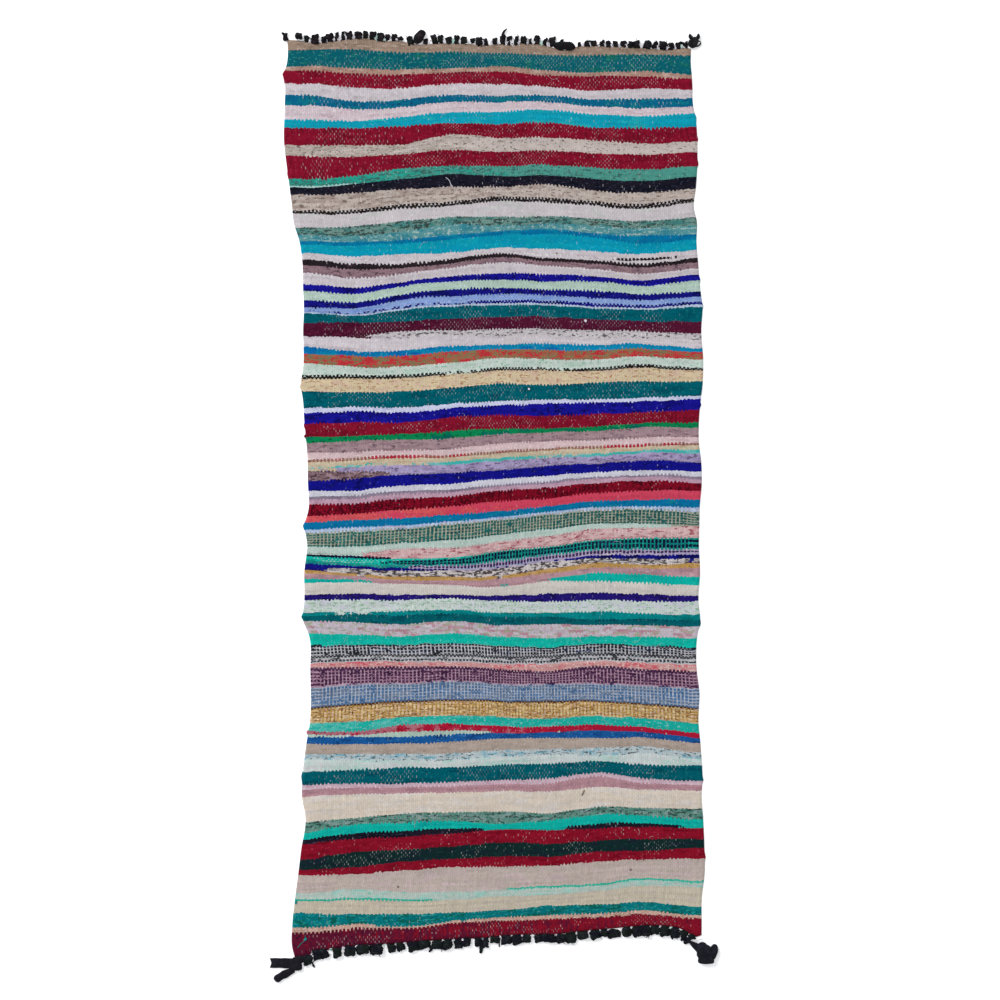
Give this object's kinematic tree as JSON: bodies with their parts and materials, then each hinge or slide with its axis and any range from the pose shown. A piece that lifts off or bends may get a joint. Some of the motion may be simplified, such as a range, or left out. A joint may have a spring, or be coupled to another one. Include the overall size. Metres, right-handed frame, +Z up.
{
  "type": "boucherouite rug",
  "caption": "Long flat hand-woven rag rug with uneven multicoloured weft stripes, wavy selvedges and black knotted rag edgings at both ends.",
  "frame": {"origin": "the middle of the rug's bounding box, on the floor that it lies on", "axes": "+Y along the rug to its head end, the end with the finer knots; +X to the right seen from above with the head away from the viewer; +Z up from the floor"},
  "size_m": [1.117, 2.3886, 0.025],
  "materials": {
    "striped_rag_weave": "weft-faced plain weave of cotton and wool-mix rags in many coloured stripes, white cotton warp",
    "black_rag_knots": "matt black jersey rag",
    "navy_black_rag_knots": "matt blue-black jersey rag",
    "black_rag_rosette": "matt black jersey rag",
    "charcoal_rag_tie": "matt charcoal jersey rag",
    "charcoal_rag_knot": "matt charcoal jersey rag"
  },
  "bodies": {
    "root": {"rug_field": "striped_rag_weave", "head_edging": "black_rag_knots", "foot_edging": "navy_black_rag_knots", "head_right_knot": "black_rag_rosette", "foot_left_tie": "charcoal_rag_tie", "foot_right_knot": "charcoal_rag_knot"}
  },
  "joints": []
}
